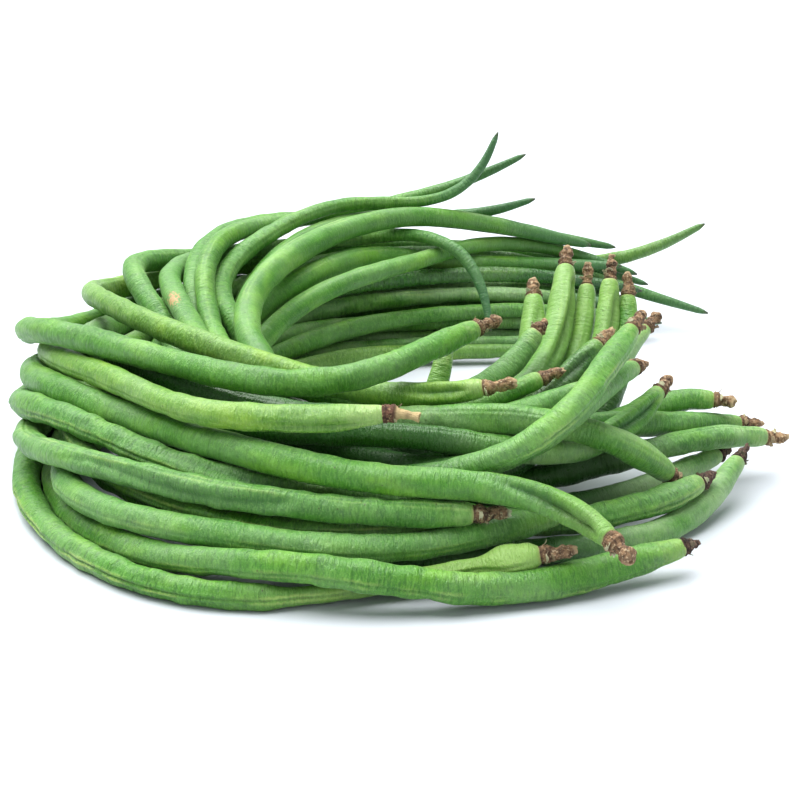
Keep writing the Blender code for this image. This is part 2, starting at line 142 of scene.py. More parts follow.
def smoothLine(centres, radii, spots):
    # a kink-free line through the rings, read at spots from 0 to 1: places, radii and distances
    rows = np.column_stack([centres, radii])
    rows = np.vstack([2 * rows[0] - rows[1], rows, 2 * rows[-1] - rows[-2]])
    t = np.linspace(0, 1, podShape["lineSteps"], endpoint=False)[:, None]
    pieces = []
    for p0, p1, p2, p3 in zip(rows, rows[1:], rows[2:], rows[3:]):
        through = 0.5 * (2 * p1 + (p2 - p0) * t + (2 * p0 - 5 * p1 + 4 * p2 - p3) * t ** 2
                         + (3 * p1 - p0 - 3 * p2 + p3) * t ** 3)
        beside = ((1 - t) ** 3 * p0 + (3 * t ** 3 - 6 * t ** 2 + 4) * p1
                  + (-3 * t ** 3 + 3 * t ** 2 + 3 * t + 1) * p2 + t ** 3 * p3) / 6
        pieces.append(through * (1 - podShape["lineSoftness"]) + beside * podShape["lineSoftness"])
    dense = np.vstack(pieces + [rows[-2]])
    steps = np.sqrt(((dense[1:, :3] - dense[:-1, :3]) ** 2).sum(axis=1))
    distance = np.concatenate([[0.0], np.cumsum(steps)])
    wanted = spots * distance[-1]
    line = np.column_stack([np.interp(wanted, distance, dense[:, axis]) for axis in range(4)])
    return line[:, :3], line[:, 3], wanted


def carriedFrames(places):  # tangent, up and side at each place, with no needless twist
    tangent = np.gradient(places, axis=0)
    tangent /= np.sqrt((tangent ** 2).sum(axis=1))[:, None]
    up = np.zeros_like(places)
    middle = len(places) // 2
    start = np.array([0.0, 0.0, 1.0])
    start -= tangent[middle] * (start @ tangent[middle])
    up[middle] = start / np.sqrt(start @ start)
    for index in list(range(middle + 1, len(places))) + list(range(middle - 1, -1, -1)):
        before = up[index - 1] if index > middle else up[index + 1]
        carried = before - tangent[index] * (before @ tangent[index])
        up[index] = carried / np.sqrt(carried @ carried)
    return tangent, up, np.cross(tangent, up)


def skinMesh(name, skins, material):
    # one mesh of closed skins, each a grid of rings with attributes of three numbers a corner
    corners, faces, values = np.zeros((0, 3)), [], {}
    for grid, attributes in skins:
        ringCount, sides = grid.shape[:2]
        first = len(corners)
        ring, side = np.meshgrid(np.arange(ringCount - 1), np.arange(sides), indexing="ij")
        here = first + ring * sides + side
        across = first + ring * sides + (side + 1) % sides
        quads = np.stack([here, across, across + sides, here + sides], axis=-1)
        faces += quads.reshape(-1, 4).tolist()
        caps = first + ringCount * sides
        lastRing = first + (ringCount - 1) * sides
        for corner in range(sides):
            following = (corner + 1) % sides
            faces.append([first + following, first + corner, caps])
            faces.append([lastRing + corner, lastRing + following, caps + 1])
        ends = [grid[0].mean(axis=0), grid[-1].mean(axis=0)]
        corners = np.vstack([corners, grid.reshape(-1, 3), *ends])
        for key, rows in attributes.items():
            rows = np.vstack([rows.reshape(-1, 3), rows[0].mean(axis=0), rows[-1].mean(axis=0)])
            values[key] = np.vstack([values[key], rows]) if key in values else rows
    mesh = bpy.data.meshes.new(name)
    mesh.from_pydata(corners.tolist(), [], faces)
    for key, rows in values.items():
        attribute = mesh.attributes.new(key, "FLOAT_VECTOR", "POINT")
        attribute.data.foreach_set("vector", rows.astype(np.float32).ravel())
    mesh.shade_smooth()
    mesh.update()
    mesh.materials.append(material)
    piece = bpy.data.objects.new(name, mesh)
    bpy.context.scene.collection.objects.link(piece)
    return piece


def putInPlace(piece, node):  # the piece rides with the bunch and stands for the frame's node
    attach(piece, "root")
    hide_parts(node)


class Nodes:
    # a short way to write a material: each call adds a node and returns the socket it makes
    def __init__(self, name):
        self.material = bpy.data.materials.new(name)
        self.material.use_nodes = True
        self.tree = self.material.node_tree
        self.shader = self.tree.nodes["Principled BSDF"]

    def join(self, value, socket):
        if isinstance(value, bpy.types.NodeSocket):
            self.tree.links.new(value, socket)
        else:
            socket.default_value = value

    def add(self, kind, values, **settings):
        node = self.tree.nodes.new(kind)
        for setting, value in settings.items():
            setattr(node, setting, value)
        for socket, value in values.items():
            self.join(value, node.inputs[socket])
        return node

    def attribute(self, name):
        return self.add("ShaderNodeAttribute", {}, attribute_name=name).outputs["Vector"]

    def split(self, vector):
        return self.add("ShaderNodeSeparateXYZ", {0: vector}).outputs

    def vector(self, first, second, how):
        return self.add("ShaderNodeVectorMath", {0: first, 1: second}, operation=how).outputs[0]

    def noise(self, place, stretch=(1.0, 1.0, 1.0), scale=1.0, detail=2.0, rough=0.55):
        place = self.vector(place, stretch, "MULTIPLY")
        values = {"Vector": place, "Scale": scale, "Detail": detail, "Roughness": rough}
        return self.add("ShaderNodeTexNoise", values).outputs[0]

    def specks(self, place, scale):
        values = {"Vector": place, "Scale": scale}
        return self.add("ShaderNodeTexVoronoi", values).outputs["Distance"]

    def between(self, value, levels, bottom=0.0, top=1.0):
        values = {0: value, 1: levels[0], 2: levels[1], 3: bottom, 4: top}
        return self.add("ShaderNodeMapRange", values, interpolation_type="SMOOTHSTEP").outputs[0]

    def maths(self, first, second, how="ADD"):
        return self.add("ShaderNodeMath", {0: first, 1: second}, operation=how).outputs[0]

    def times(self, first, second):
        return self.maths(first, second, "MULTIPLY")

    def blend(self, share, first, second):
        values = {0: share, 6: first, 7: second}
        return self.add("ShaderNodeMix", values, data_type="RGBA", blend_type="MIX").outputs[2]

    def length(self, vector):
        return self.add("ShaderNodeVectorMath", {0: vector}, operation="LENGTH").outputs["Value"]

    def finish(self, colour, roughness, height, depth, plain):
        values = {"Strength": 1.0, "Distance": depth, "Height": height}
        bump = self.add("ShaderNodeBump", values)
        self.join(colour, self.shader.inputs["Base Color"])
        self.join(bump.outputs[0], self.shader.inputs["Normal"])
        self.join(roughness, self.shader.inputs["Roughness"])
        for socket, value in plain.items():
            self.shader.inputs[socket].default_value = value
        return self.material


# greens of the pods: deep furrows (partly painted shade) and painted crease shade, body, pale rib
# tops (partly painted highlight), warm patches, stem end and tip, and how rough their shine is
podGreens = {
    "midGreen": {"deep": (22, 84, 12), "body": (72, 138, 30), "pale": (122, 180, 72),
                 "warm": (108, 164, 38), "neck": (142, 180, 90), "tip": (50, 98, 56),
                 "gloss": 0.42},
    "yellowGreen": {"deep": (52, 108, 14), "body": (98, 150, 38), "pale": (148, 192, 86),
                    "warm": (130, 170, 46), "neck": (166, 196, 118), "tip": (74, 120, 60),
                    "gloss": 0.40},
    "darkGreen": {"deep": (8, 56, 8), "body": (38, 98, 20), "pale": (98, 156, 66),
                  "warm": (70, 126, 28), "neck": (116, 162, 74), "tip": (40, 84, 50),
                  "gloss": 0.25},
    "greyGreen": {"deep": (30, 88, 26), "body": (74, 138, 42), "pale": (130, 182, 88),
                  "warm": (100, 156, 46), "neck": (146, 184, 102), "tip": (56, 104, 68),
                  "gloss": 0.46},
}

podMarks = {
    "noises": {  # in the pod's own mm, the last direction running along it
        "cloud": {"stretch": (1.0, 1.0, 0.35), "scale": 0.2, "detail": 3.0},
        "patch": {"stretch": (1.0, 1.0, 0.45), "scale": 0.12},
        "furrows": {"stretch": (0.24, 0.24, 1.0), "scale": 0.75, "detail": 3.0, "rough": 0.6},
        "ribs": {"stretch": (0.3, 0.3, 1.0), "scale": 1.9, "rough": 0.6},
        "stipple": {"scale": 2.6, "rough": 0.65},
        "bloom": {"stretch": (1.0, 1.0, 0.5), "scale": 0.07, "detail": 3.0},
        "seamWear": {"stretch": (1.0, 1.0, 0.35), "scale": 0.16},
        "seamWander": {"scale": 0.8},
        "shine": {"scale": 0.6},
        "neckEdge": {"scale": 0.4, "detail": 3.0},
        "spotPlaces": {"scale": 0.12, "detail": 1.0},
        "speckPlaces": {"scale": 0.3},
        "scarEdge": {"scale": 0.9, "detail": 3.0},
    },
    "levels": {  # from where to where each mark comes up: values of its noise, or mm
        "cloud": (0.28, 0.66), "patch": (0.48, 0.72), "furrows": (0.52, 0.38),
        "ribs": (0.48, 0.68), "stipple": (0.52, 0.7), "bloom": (0.35, 0.65),
        "seamWear": (0.44, 0.62), "seamWander": (0.3, 0.7), "seamLine": (0.05, 0.32),
        "seamSideStart": (0.3, 0.7), "seamSideEnd": (0.8, 1.7), "backSeam": (0.05, 0.4),
        "shine": (0.3, 0.7), "neckEdge": (0.3, 0.7), "collar": (0.2, 1.3), "tip": (4.0, 60.0),
        "tipEnd": (0.0, 3.0), "spots": (0.05, 0.13), "spotPlaces": (0.5, 0.62),
        "specks": (0.07, 0.17), "speckPlaces": (0.48, 0.6), "scarEdge": (0.25, 0.75),
    },
    "shares": {  # how strongly each mark colours the skin
        "body": 0.55, "patch": 0.75, "furrows": 0.34, "ribs": 0.4, "stipple": 0.42,
        "bloom": 0.12, "crease": 0.85, "seamSide": 0.5, "seamLine": 0.6, "backSeam": 0.5,
        "dark": 0.85, "collar": 0.6, "tip": 0.75, "tipEnd": 0.8, "spots": 0.8, "specks": 0.5,
        "scar": 0.85,
    },
    "paints": {
        # dark: the colour of the painted shade on the stretch inside the bunch
        "bloom": (188, 214, 166), "seamSide": (196, 216, 118), "seamLine": (74, 78, 30),
        "dark": (16, 76, 4), "collar": (196, 190, 128), "tipEnd": (66, 62, 44),
        "spots": (60, 58, 26), "specks": (44, 62, 26),
    },
    "heights": {"ribs": 0.5, "furrows": 1.0, "stipple": 0.22}, "reliefDepth": 0.75 * mm,
    "apart": (13.7, 7.3, 31.1),                   # how far the noises shift from pod to pod
    "dotScales": {"spots": 0.36, "specks": 0.95},
    "seamWander": 0.2, "neckStart": 1.0, "neckWander": 3.0,
    # the painted shade stretch's extra gloss and how softly it fades in and out, in mm
    "shineSpread": (-0.08, 0.12), "shadeStretchShine": 0.14, "shadeStretchFades": (20.0, 30.0),
    "scarStretch": (1.0, 1.0, 0.5), "scarRagged": 0.7, "scarCore": 0.3,
    "plain": {"Specular IOR Level": 0.5, "Subsurface Weight": 0.12,
              "Subsurface Radius": (0.5, 1.0, 0.25), "Subsurface Scale": 1.2 * mm,
              "Sheen Weight": 0.05, "Sheen Roughness": 0.45},
}


def podSkin(name, look, number):
    noises, levels, shares = podMarks["noises"], podMarks["levels"], podMarks["shares"]
    paints, greens = painted(podMarks["paints"]), painted(podGreens[look["green"]])
    wear, mildWear = look["shrivel"], min(look["shrivel"], 1.0)
    skin = Nodes(name)
    ownPlace = skin.attribute("podPlace")
    place = skin.vector(ownPlace, [number * step for step in podMarks["apart"]], "ADD")
    seams = skin.split(skin.attribute("podSeams"))
    ends = skin.split(skin.attribute("podEnds"))

    def noise(mark):
        return skin.noise(place, **noises[mark])

    colour = skin.blend(skin.between(noise("cloud"), levels["cloud"]), greens["deep"],
                        greens["body"])
    colour = skin.blend(shares["body"], colour, greens["body"])
    patch = skin.between(noise("patch"), levels["patch"], 0.0, shares["patch"])
    colour = skin.blend(patch, colour, greens["warm"])

    furrows = noise("furrows")                    # wrinkles that run part way round
    ribs = noise("ribs")                          # finer ribbing between them
    stipple = noise("stipple")
    # the wrinkles' hollows painted deeper green: partly their own darker ticks, partly painted
    # shade
    mark = skin.between(furrows, levels["furrows"], 0.0, shares["furrows"] * wear)
    colour = skin.blend(mark, colour, greens["deep"])
    # the rib tops painted paler: partly their own paler streaks, partly painted highlight
    mark = skin.between(ribs, levels["ribs"], 0.0, shares["ribs"] * mildWear)
    colour = skin.blend(mark, colour, greens["pale"])
    mark = skin.between(stipple, levels["stipple"], 0.0, shares["stipple"])
    colour = skin.blend(mark, colour, greens["pale"])
    mark = skin.between(noise("bloom"), levels["bloom"], 0.0, shares["bloom"] * look["bloom"])
    colour = skin.blend(mark, colour, paints["bloom"])
    # painted shade: the creases' folds painted deep green
    colour = skin.blend(skin.times(ends[2], shares["crease"]), colour, greens["deep"])

    strength = skin.between(noise("seamWear"), levels["seamWear"])
    strength = skin.times(strength, look["seamLine"])
    wander = skin.between(noise("seamWander"), levels["seamWander"], -podMarks["seamWander"],
                          podMarks["seamWander"])
    fromSeam = skin.maths(seams[0], wander)
    mark = skin.times(skin.between(fromSeam, levels["seamSideStart"]),
                      skin.between(fromSeam, levels["seamSideEnd"], 1.0, 0.0))
    mark = skin.times(skin.times(mark, strength), shares["seamSide"])
    colour = skin.blend(mark, colour, paints["seamSide"])
    mark = skin.between(fromSeam, levels["seamLine"], 1.0, 0.0)
    mark = skin.times(skin.times(mark, strength), shares["seamLine"])
    colour = skin.blend(mark, colour, paints["seamLine"])
    mark = skin.between(skin.maths(seams[1], wander), levels["backSeam"], 1.0, 0.0)
    mark = skin.times(skin.times(mark, strength), shares["backSeam"])
    colour = skin.blend(mark, colour, greens["deep"])

    lowShine, highShine = (greens["gloss"] + step for step in podMarks["shineSpread"])
    shine = skin.between(noise("shine"), levels["shine"], lowShine, highShine)
    if look["dark"]:                              # painted shade: darker, and glossier, inside the bunch
        start, end = look["dark"]
        fadeIn, fadeOut = podMarks["shadeStretchFades"]
        dark = skin.between(ends[0], (start - fadeIn, start + fadeIn), 0.0, shares["dark"])
        dark = skin.times(dark, skin.between(ends[0], (end - fadeOut, end + fadeOut), 1.0, 0.0))
        colour = skin.blend(dark, colour, paints["dark"])
        shine = skin.maths(shine, skin.times(dark, podMarks["shadeStretchShine"]), "SUBTRACT")
    wander = skin.between(noise("neckEdge"), levels["neckEdge"], -podMarks["neckWander"],
                          podMarks["neckWander"])
    mark = skin.between(skin.maths(ends[0], wander), (podMarks["neckStart"], look["neckReach"]),
                        look["paleNeck"], 0.0)
    colour = skin.blend(mark, colour, greens["neck"])
    mark = skin.between(ends[0], levels["collar"], shares["collar"], 0.0)
    colour = skin.blend(mark, colour, paints["collar"])
    mark = skin.between(ends[1], levels["tip"], shares["tip"], 0.0)
    colour = skin.blend(mark, colour, greens["tip"])
    mark = skin.between(ends[1], levels["tipEnd"], shares["tipEnd"], 0.0)
    colour = skin.blend(mark, colour, paints["tipEnd"])

    for kind, where in (("spots", "spotPlaces"), ("specks", "speckPlaces")):
        dots = skin.specks(place, podMarks["dotScales"][kind])
        mark = skin.times(skin.between(dots, levels[kind], 1.0, 0.0),
                          skin.between(noise(where), levels[where]))
        colour = skin.blend(skin.times(mark, shares[kind]), colour, paints[kind])
    for distance, turn, size, stain in look["scars"]:
        turn = math.radians(turn)
        spot = (podShape["radius"] * math.cos(turn), podShape["radius"] * math.sin(turn), distance)
        gap = skin.vector(ownPlace, spot, "SUBTRACT")
        reach = skin.length(skin.vector(gap, podMarks["scarStretch"], "MULTIPLY"))
        ragged = size * podMarks["scarRagged"]
        edge = skin.between(noise("scarEdge"), levels["scarEdge"], -ragged, ragged)
        mark = skin.between(skin.maths(reach, edge), (size * podMarks["scarCore"], size),
                            shares["scar"], 0.0)
        colour = skin.blend(mark, colour, paint(*stain))

    heights = podMarks["heights"]
    height = skin.times(ribs, heights["ribs"] * mildWear)
    height = skin.maths(height, skin.times(furrows, heights["furrows"] * wear))
    height = skin.maths(height, skin.times(stipple, heights["stipple"]))
    return skin.finish(colour, shine, height, podMarks["reliefDepth"], podMarks["plain"])


podShape = {                                      # in mm; names in Draws start the random draws
    "frameSides": 8, "radius": 4.3,               # corners round a frame pod; its usual radius
    "lineSteps": 16, "lineSoftness": 0.6,         # how finely and how softly its line is drawn
    "crowdedRings": 0.3, "crowdedSides": 0.5,     # how much closer the mesh lies at stem and seams
    "steadyRings": (2, 8), "steadyShare": 0.4,    # rings that give the stem's thickness; its reach
    "endShare": 0.62, "endRun": 5.5,              # how thin the stem end is, and how it rounds in
    "shoulderRun": 19.0, "shoulderDrop": (0.14, 0.3), "shoulderDraws": 700,
    "slimRun": (0.45, 0.85), "stoutStart": (0, 4), "stoutEnd": (8, 20), "pinchFades": (10, 20),
    "tipRun": 3.0, "tipFill": 0.3, "tipFillRun": (10, 100), "tipLeast": 0.08, "least": 0.2,
    "seedStart": 13.0, "seedStop": 30, "seedStep": 12.5, "seedSpread": 3.6, "seedRise": 0.36,
    "seedStrengths": (0.25, 1.0), "seedSpreads": (0.85, 1.25), "seedSteps": (0.75, 1.35),
    "seedLevel": 0.45, "seedRound": 0.4, "seedDraws": 400,
    "seamDepth": 0.2, "seamWidth": 0.34, "seamLip": 0.16, "lipPlace": 0.9, "lipWidth": 0.5,
    "seamLeast": 0.35, "seamFading": (1.0, 90, 26.0, 1), "backSeam": 0.6,
    "relief": {                                   # height, seed, mm between lumps, count round it
        "facets": (0.42, 0, 34.0, 5), "dents": (0.22, 30, 9.0, 6),
        "ripple": (0.17, 60, 4.2, 9), "wrinkle": (0.08, 120, 2.0, 5),
    },
    "thinnest": 0.25, "calmStem": 8, "calmTip": 30,   # where the relief fades out
    "creaseStart": 7, "creaseTail": 0.6, "creaseWave": 12.0, "creaseOpening": (0.6, 0.7),
    "creaseSharpness": 1.4, "creaseLip": 0.5, "creaseLipPlace": 2.1, "creaseLipWidth": 1.0,
    "creaseDark": 1.6,                            # how deep a crease is where its painted shade is darkest
}

# mesh fineness: the pods that face out of the bunch have the lowest numbers and are the finer ones
podFineness = {"lastOuter": 16, "outer": {"rings": 400, "sides": 44},
               "inner": {"rings": 320, "sides": 26}}

# what sets each pod apart, in mm from its stem end: its green; its seam's turn in degrees (0 is
# up, -90 faces outward), the seam's twist over the length and how clear its line is; how
# shrivelled it is; how much bloom it has; how pale its neck is, and how far that reaches; creases
# as (from, to, turn, depth, width, sway in radians), each with painted shade in its fold; scars as
# (from the stem end, turn, size, colour); slim thins it to the tip; pinch narrows a stretch (from,
# to, share); stout swells the stem end; dark is a stretch of painted shade inside the bunch (from,
# to)
podDefaults = {"shrivel": 1.0, "bloom": 1.0, "seamLine": 0.15, "paleNeck": 0.5, "neckReach": 8.0,
               "slim": 1.0, "stout": 1.0, "pinch": (0, 1, 0.0), "dark": None, "creases": [],
               "scars": []}
pods = {
    1: {"green": "midGreen", "seam": -165, "twist": 60},
    2: {"green": "yellowGreen", "seam": 60, "twist": -80, "creases": [(3, 30, -66, 1.7, 1.1, 0.2)]},
    3: {"green": "yellowGreen", "seam": -125, "twist": 70, "paleNeck": 0.75, "neckReach": 16,
        "creases": [(5, 44, -112, 0.7, 0.8, 0.12)]},
    4: {"green": "midGreen", "seam": -40, "twist": 50, "bloom": 2.5, "dark": (100, 230)},
    5: {"green": "midGreen", "seam": -120, "twist": 70, "seamLine": 0.5, "dark": (88, 210)},
    6: {"green": "midGreen", "seam": 30, "twist": -40, "paleNeck": 0.45, "neckReach": 34,
        "creases": [(1, 48, -62, 3.0, 1.7, 0.6)]},
    7: {"green": "greyGreen", "seam": -86, "twist": -20, "shrivel": 1.6, "seamLine": 0.5,
        "creases": [(90, 200, -50, 1.1, 1.1, 0.3)]},
    8: {"green": "greyGreen", "seam": -40, "twist": 60, "shrivel": 1.4, "seamLine": 0.35,
        "creases": [(50, 150, -84, 1.1, 1.2, 0.35)]},
    9: {"green": "midGreen", "seam": -72, "twist": 20, "shrivel": 1.5, "seamLine": 0.7,
        "creases": [(70, 190, -96, 1.0, 1.1, 0.3)]},
    10: {"green": "greyGreen", "seam": -100, "twist": 30, "seamLine": 0.35},
    11: {"green": "midGreen", "seam": -88, "twist": 25, "shrivel": 1.4, "seamLine": 0.9,
         "paleNeck": 0.9, "neckReach": 110, "pinch": (10, 90, 0.36), "stout": 1.4},
    12: {"green": "midGreen", "seam": -118, "twist": 60, "shrivel": 1.4, "seamLine": 0.45,
         "paleNeck": 0.6, "neckReach": 12},
    13: {"green": "midGreen", "seam": -40, "twist": 60, "bloom": 3.0, "dark": (72, 210),
         "creases": [(3, 42, -62, 2.0, 1.1, 0.25)]},
    14: {"green": "greyGreen", "seam": 20, "twist": 50, "bloom": 4.0, "dark": (66, 190)},
    15: {"green": "greyGreen", "seam": 70, "twist": -60, "bloom": 4.0, "dark": (45, 190)},
    16: {"green": "greyGreen", "seam": -20, "twist": 60, "bloom": 3.5, "dark": (48, 190),
         "shrivel": 1.2, "seamLine": 0.4},
    17: {"green": "greyGreen", "seam": -20, "twist": 80, "slim": 0.92, "dark": (62, 230)},
    18: {"green": "midGreen", "seam": 10, "twist": -70, "slim": 0.9, "dark": (66, 190)},
    19: {"green": "greyGreen", "seam": 60, "twist": 50, "slim": 0.8, "dark": (75, 170),
         "scars": [(232, -40, 2.6, (196, 150, 106))]},
    20: {"green": "greyGreen", "seam": 35, "twist": 80, "slim": 0.85, "dark": (60, 150)},
    21: {"green": "midGreen", "seam": -45, "twist": 60, "slim": 0.8},
    22: {"green": "greyGreen", "seam": 80, "twist": -50, "slim": 0.75},
    23: {"green": "darkGreen", "seam": -30, "twist": 60, "dark": (55, 180),
         "creases": [(3, 28, -60, 1.4, 1.0, 0.15)]},
    24: {"green": "midGreen", "seam": -80, "twist": 40, "bloom": 3.0, "dark": (50, 190)},
    25: {"green": "midGreen", "seam": -35, "twist": 30, "seamLine": 0.3, "paleNeck": 0.55,
         "neckReach": 70, "shrivel": 0.6, "dark": (115, 160),
         "creases": [(3, 54, -72, 2.5, 1.2, 0.3)]},
    26: {"green": "midGreen", "seam": 40, "twist": -40, "paleNeck": 0.5, "neckReach": 50,
         "shrivel": 0.6, "creases": [(3, 32, -60, 1.4, 1.0, 0.2)]},
    27: {"green": "midGreen", "seam": -60, "twist": 40, "seamLine": 0.3, "paleNeck": 0.55,
         "neckReach": 60, "shrivel": 0.6, "dark": (95, 170)},
    28: {"green": "midGreen", "seam": -40, "twist": 40, "paleNeck": 0.55, "neckReach": 60,
         "shrivel": 0.6, "dark": (90, 170), "creases": [(3, 36, -75, 1.6, 1.0, 0.2)]},
    29: {"green": "midGreen", "seam": -50, "twist": 60, "dark": (40, 190)},
    30: {"green": "yellowGreen", "seam": 0, "twist": 70, "dark": (50, 150)},
}


def seedRises(number, distance, length):  # how far the seeds swell the pod, all along it
    draw = np.random.RandomState(number + podShape["seedDraws"])
    rises = np.zeros_like(distance)
    place = podShape["seedStart"]
    while place < length - podShape["seedStop"]:
        strength = draw.uniform(*podShape["seedStrengths"])
        spread = podShape["seedSpread"] * draw.uniform(*podShape["seedSpreads"])
        rises += strength * hill(distance - place, spread)
        place += podShape["seedStep"] * draw.uniform(*podShape["seedSteps"])
    return rises


def podRadius(number, radii, radius, distance, look):  # thickness along the pod, its ends shaped
    length = distance[-1]
    draw = np.random.RandomState(number + podShape["shoulderDraws"])
    drop = draw.uniform(*podShape["shoulderDrop"])
    first, last = podShape["steadyRings"]
    thickness = radii[first:last].mean() / mm
    radius = np.where(distance < length * podShape["steadyShare"], thickness, radius)
    inward = 1 - np.clip(distance / podShape["endRun"], 0, 1)
    endShare = podShape["endShare"]
    radius = radius * (endShare + (1 - endShare) * np.sqrt(1 - inward ** 2))
    radius = radius * (1 - drop * (1 - rise(0, podShape["shoulderRun"], distance)))
    radius = radius * (1 - (1 - look["slim"]) * rise(*podShape["slimRun"], distance / length))
    swell = (look["stout"] - 1) * rise(*podShape["stoutStart"], distance)
    radius = radius * (1 + swell * (1 - rise(*podShape["stoutEnd"], distance)))
    radius = radius + podShape["tipFill"] * (1 - rise(*podShape["tipFillRun"], length - distance))
    start, end, narrower = look["pinch"]
    fadeIn, fadeOut = podShape["pinchFades"]
    pinch = narrower * rise(start, start + fadeIn, distance)
    radius = radius * (1 - pinch * (1 - rise(end - fadeOut, end, distance)))
    return radius, thickness


def creaseFold(s, a, r, creases):  # how far in the creases go, and how far their lips stand out
    fold, lips = np.zeros_like(s), np.zeros_like(s)
    narrow, wider = podShape["creaseOpening"]
    for start, end, turn, depth, width, sway in creases:
        tail = end - (end - start) * podShape["creaseTail"]
        along = rise(start, start + podShape["creaseStart"], s) * (1 - rise(tail, end, s))
        wave = np.sin((s - (start + end) / 2) / podShape["creaseWave"])
        gap = turnBetween(a, math.radians(turn) + sway * wave) * r
        opening = width * (narrow + wider * along)
        fold = fold + along * depth * np.exp(-(gap / opening) ** podShape["creaseSharpness"])
        beside = gap - podShape["creaseLipPlace"] * opening
        lips = lips + along * podShape["creaseLip"] * hill(beside, podShape["creaseLipWidth"])
    return fold, lips


def makePod(number, look):
    node, stalkNode = "pod_%02d" % number, "stalk_%02d" % number
    fineness = podFineness["outer" if number <= podFineness["lastOuter"] else "inner"]
    sides = fineness["sides"]
    even = np.linspace(0, 1, fineness["rings"])
    crowded = podShape["crowdedRings"]
    spots = (1 - crowded) * even + crowded * even ** 2
    centres, radii = podRings(node, stalkNode)
    places, radius, distance = smoothLine(centres, radii, spots)
    tangent, up, side = carriedFrames(places)
    distance, radius = distance / mm, radius / mm
    length = distance[-1]
    radius, thickness = podRadius(number, radii, radius, distance, look)

    u = np.arange(sides) / sides
    aroundSeam = fullTurn * u - podShape["crowdedSides"] * np.sin(2 * fullTurn * u) / 2
    s, fromSeam = np.meshgrid(distance, aroundSeam, indexing="ij")
    a = fromSeam + np.radians(look["seam"] + look["twist"] * s / length)
    r = np.repeat(radius[:, None], sides, axis=1)
    slim = np.clip(r / podShape["radius"], podShape["thinnest"], 1.0)
    ends = rise(0, podShape["calmStem"], s) * rise(0, podShape["calmTip"], length - s)
    shrivel = look["shrivel"]

    firstSeam = turnBetween(fromSeam, 0.0) * r
    secondSeam = turnBetween(fromSeam, math.pi) * r
    fading = bumps(podShape["seamFading"], number, s, 0 * a)
    clear = podShape["seamLeast"] + look["seamLine"] * (1.0 + fading)
    depth, width = podShape["seamDepth"], podShape["seamWidth"]
    lip = hill(firstSeam - podShape["lipPlace"], podShape["lipWidth"])
    groove = -depth * hill(firstSeam, width) + podShape["seamLip"] * shrivel * lip
    groove = clear * (groove - podShape["backSeam"] * depth * hill(secondSeam, width))

    seeds = np.repeat(seedRises(number, distance, length)[:, None], sides, axis=1)
    flat = podShape["seedRound"]
    swell = podShape["seedRise"] * shrivel * (seeds - podShape["seedLevel"])
    swell = swell * (flat + (1 - flat) * np.abs(np.sin(fromSeam)))
    relief = 0 * s
    for layer in podShape["relief"].values():
        relief = relief + bumps(layer, number, s, a, shrivel)
    fold, lips = creaseFold(s, a, r, look["creases"])
    r = r + (swell + relief + groove + lips) * slim * ends - fold
    tip = np.sqrt(np.clip((length - s) / podShape["tipRun"], podShape["tipLeast"], 1))
    r = np.maximum(r, podShape["least"]) * tip

    offset = np.cos(a)[:, :, None] * up[:, None, :] + np.sin(a)[:, :, None] * side[:, None, :]
    grid = places[:, None, :] + offset * (r * mm)[:, :, None]
    keepAboveFloor(grid)
    # how dark the painted shade in a crease's fold is, from its depth
    creaseShade = np.clip(fold / podShape["creaseDark"], 0, 1)
    attributes = {
        "podPlace": np.stack([r * np.cos(a), r * np.sin(a), s], axis=-1),
        "podSeams": np.stack([firstSeam, secondSeam, 0 * s], axis=-1),
        "podEnds": np.stack([s, length - s, creaseShade], axis=-1),
    }
    material = podSkin("skin_%02d" % number, look, number)
    piece = skinMesh("bean_" + node, [(grid, attributes)], material)
    putInPlace(piece, node)
    return {"end": places[0], "out": -tangent[0], "thickness": thickness}


# kinds of stalk: the outline as (share of the length, radius in mm); how much of the length shows;
# how far the broken end droops, in metres; how rough and how pale the end is; a pale sleeve or not
stalkDefaults = {"shown": 1.0, "droop": (0.0, 0.0, 0.0), "rough": 1.0, "paleEnd": 1.0,
                 "sleeve": False}
stalkKinds = {
    "knobbly": {"outline": [(0, 2.4), (0.12, 2.8), (0.28, 2.5), (0.4, 1.8), (0.52, 2.0),
                            (0.64, 1.7), (0.8, 2.1), (0.93, 1.8), (1, 1.2)]},
    "ball": {"outline": [(0, 2.5), (0.12, 2.9), (0.3, 2.6), (0.44, 1.9), (0.56, 2.0), (0.7, 2.4),
                         (0.84, 2.5), (0.95, 1.8), (1, 0.9)],
             "paleEnd": 0.3},
    "tube": {"outline": [(0, 2.6), (0.1, 2.9), (0.3, 2.7), (0.44, 1.6), (0.64, 1.2), (0.8, 1.15),
                         (0.92, 1.45), (1, 1.6)],
             "shown": 0.9, "droop": (0.0, -0.0014, -0.0016), "rough": 0.35, "sleeve": True},
    "stub": {"outline": [(0, 2.5), (0.25, 2.6), (0.5, 2.0), (0.78, 1.3), (1, 0.7)],
             "shown": 0.72},
    "torn": {"outline": [(0, 2.4), (0.15, 2.8), (0.32, 2.4), (0.5, 1.8), (0.7, 2.0), (0.88, 1.5),
                         (1, 0.9)]},
    "tall": {"outline": [(0, 2.2), (0.1, 2.5), (0.24, 1.9), (0.36, 2.3), (0.5, 1.6), (0.68, 2.0),
                         (0.84, 1.4), (1, 1.1)]},
}

